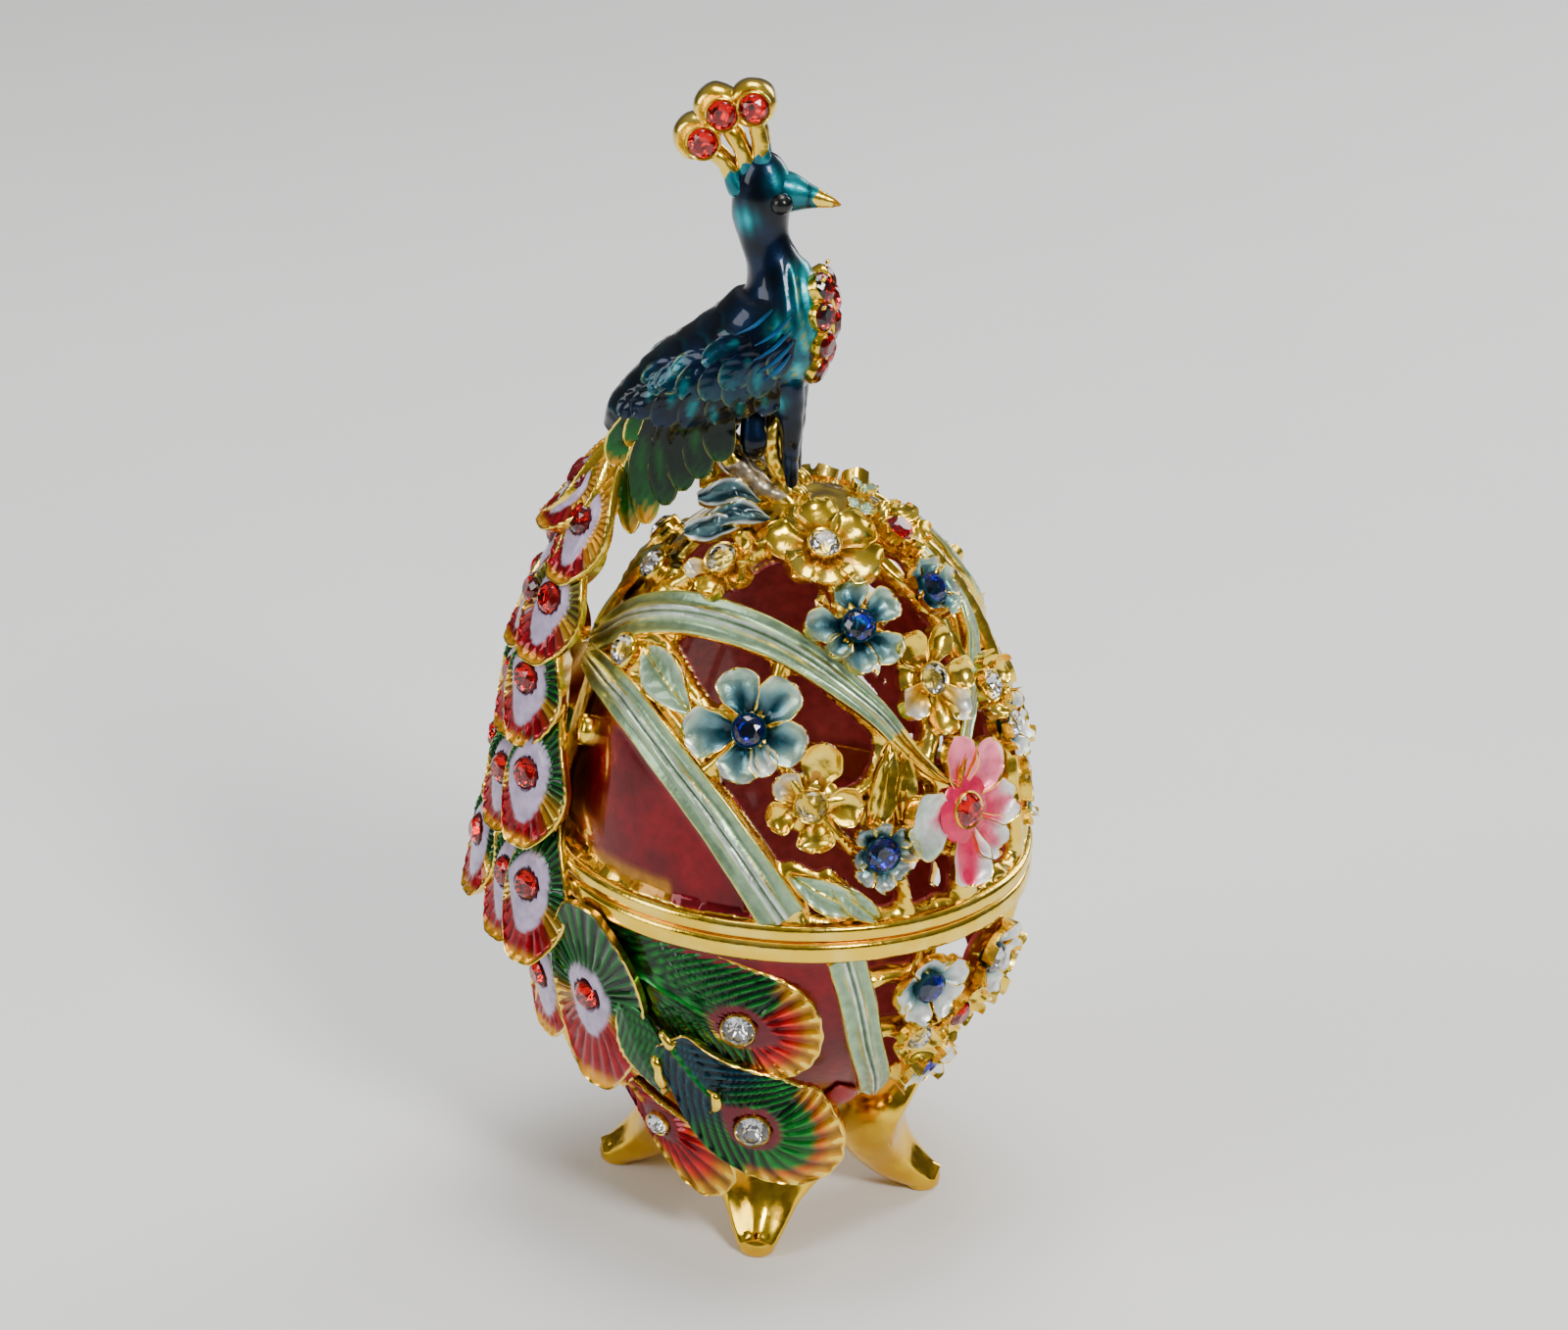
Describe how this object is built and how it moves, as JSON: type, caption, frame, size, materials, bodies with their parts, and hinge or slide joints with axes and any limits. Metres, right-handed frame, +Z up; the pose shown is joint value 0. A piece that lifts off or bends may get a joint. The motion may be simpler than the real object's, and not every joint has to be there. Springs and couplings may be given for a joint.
{
  "type": "jewelled egg trinket box",
  "caption": "Egg-shaped enamelled trinket box with a lift-off lid, a peacock standing on top, set stones and cabriole feet.",
  "frame": {"origin": "on the ground plane under the centre of the box's bounding box; the egg's axis is 4.2 mm towards +X from it", "axes": "+Z up along the egg's axis; +X the way the peacock looks, with its train falling down the -X side; +Y the box's left side"},
  "size_m": [0.0596, 0.05, 0.1179],
  "materials": {
    "gold_plate": "polished gold-plated casting with worn, grained recesses",
    "blue_enamel": "glossy dark blue to turquoise enamel over gold-plated metal",
    "green_enamel": "glossy green enamel over gold-plated metal with raised barbs",
    "clear_stone": "faceted clear glass stone with a foil back",
    "red_stone": "faceted red glass stone with a foil back",
    "blue_stone": "faceted deep blue glass stone with a foil back"
  },
  "bodies": {
    "root": {"bowl": "gold_plate", "foot_back": "gold_plate", "foot_front": "gold_plate", "foot_left": "gold_plate", "foot_right": "gold_plate", "lid": "gold_plate", "lower_train": "green_enamel", "peacock": "blue_enamel", "stone_bowl_gold": "clear_stone", "stone_bowl_low": "blue_stone", "stone_bowl_middle": "red_stone", "stone_bowl_pearl": "clear_stone", "stone_bowl_red": "red_stone", "stone_bowl_red_left": "red_stone", "stone_bowl_teal": "blue_stone", "stone_bowl_teal_left": "blue_stone", "stone_breast_gold": "clear_stone", "stone_breast_pearl": "clear_stone", "stone_crest_1": "red_stone", "stone_crest_2": "red_stone", "stone_crest_3": "red_stone", "stone_crown_gold": "clear_stone", "stone_crown_gold_left": "clear_stone", "stone_fan_high": "clear_stone", "stone_fan_low": "clear_stone", "stone_front_low": "clear_stone", "stone_front_teal": "blue_stone", "stone_great_eye": "red_stone", "stone_great_pink": "red_stone", "stone_great_pink_left": "red_stone", "stone_great_teal": "blue_stone", "stone_great_teal_left": "blue_stone", "stone_lower_mid": "red_stone", "stone_mid_high": "red_stone", "stone_mid_low": "red_stone", "stone_mid_seam": "red_stone", "stone_mid_top": "red_stone", "stone_mid_waist": "red_stone", "stone_middle_high": "red_stone", "stone_middle_low": "red_stone", "stone_middle_seam": "red_stone", "stone_middle_waist": "red_stone", "stone_right_high": "red_stone", "stone_right_low": "red_stone", "stone_right_seam": "red_stone", "stone_right_top": "red_stone", "stone_right_waist": "red_stone", "stone_shoulder_gold": "clear_stone", "stone_shoulder_gold_left": "clear_stone", "stone_side_gold": "clear_stone", "stone_small_teal": "blue_stone", "stone_top_gold": "red_stone", "stone_upper_teal": "blue_stone", "stone_upper_teal_left": "blue_stone", "stone_window_gold": "clear_stone", "stone_window_gold_left": "clear_stone", "upper_train": "green_enamel"}
  },
  "joints": []
}
